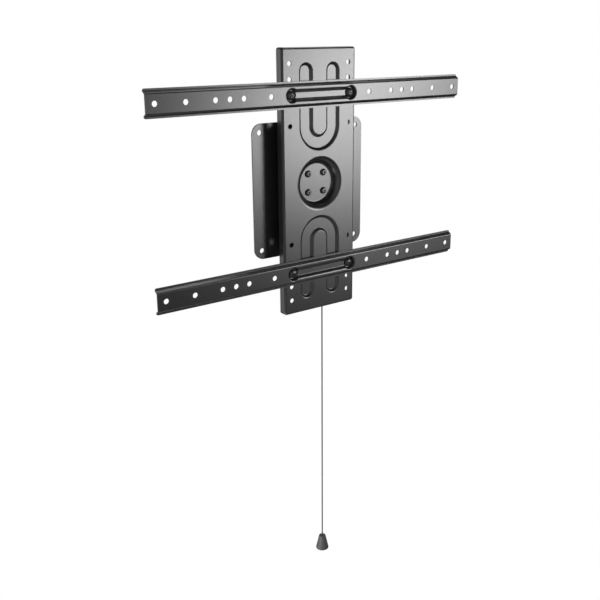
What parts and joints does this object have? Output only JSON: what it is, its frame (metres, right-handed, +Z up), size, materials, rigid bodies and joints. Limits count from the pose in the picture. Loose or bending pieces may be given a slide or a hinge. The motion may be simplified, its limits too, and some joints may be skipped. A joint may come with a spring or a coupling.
{
  "type": "rotating tv wall mount",
  "caption": "Rotating screen wall mount: flat wall plate, pressed upright plate on a locking quarter-turn pivot, two cross rails with screen holes, and a pull cord that frees the lock.",
  "frame": {"origin": "middle of the four wall holes, on the wall's face", "axes": "+X to the right seen from the front, +Y into the wall, +Z up"},
  "size_m": [0.63, 0.0413, 0.9684],
  "materials": {
    "black_coat": "fine black powder coat",
    "black_screw": "black zinc",
    "zinc": "zinc plated",
    "turned_steel": "turned",
    "spring_steel": "oiled spring steel",
    "bearing_plastic": "natural acetal",
    "cord": "braided black cord",
    "bell_plastic": "moulded dark grey plastic"
  },
  "bodies": {
    "wall_side": {"wall_plate": "black_coat", "pivot_bush": "bearing_plastic", "rear_washer": "bearing_plastic", "stop_pin": "zinc", "lock_housing": "black_coat", "lock_rivets": "zinc", "lock_spring": "spring_steel"},
    "turning_side": {"face_plate": "black_coat", "pivot_hub": "turned_steel", "index_disc": "zinc", "hub_screws": "black_screw", "thrust_washer": "zinc", "retaining_ring": "spring_steel", "rail_upper": "black_coat", "rail_lower": "black_coat", "rail_screws": "black_screw", "rail_washers": "zinc", "rail_nuts": "zinc"},
    "lock_pull": {"lock_plunger": "turned_steel", "plunger_clip": "spring_steel", "spring_seat": "zinc", "cord_loop": "cord", "pull_cord": "cord", "pull_bell": "bell_plastic", "bell_knot": "cord"}
  },
  "joints": [
    {"name": "plate_turn", "type": "hinge", "parent": "wall_side", "child": "turning_side", "pos_m": [0, -0.012, 0.01], "axis": [0, 1, 0], "range_deg": [0, 90]},
    {"name": "lock_slide", "type": "slide", "parent": "wall_side", "child": "lock_pull", "axis": [0, 0, 1], "range_m": [0, 0.008], "stiffness_N_per_m": 400, "springref_m": 0.014, "deforming": ["lock_spring"]}
  ]
}
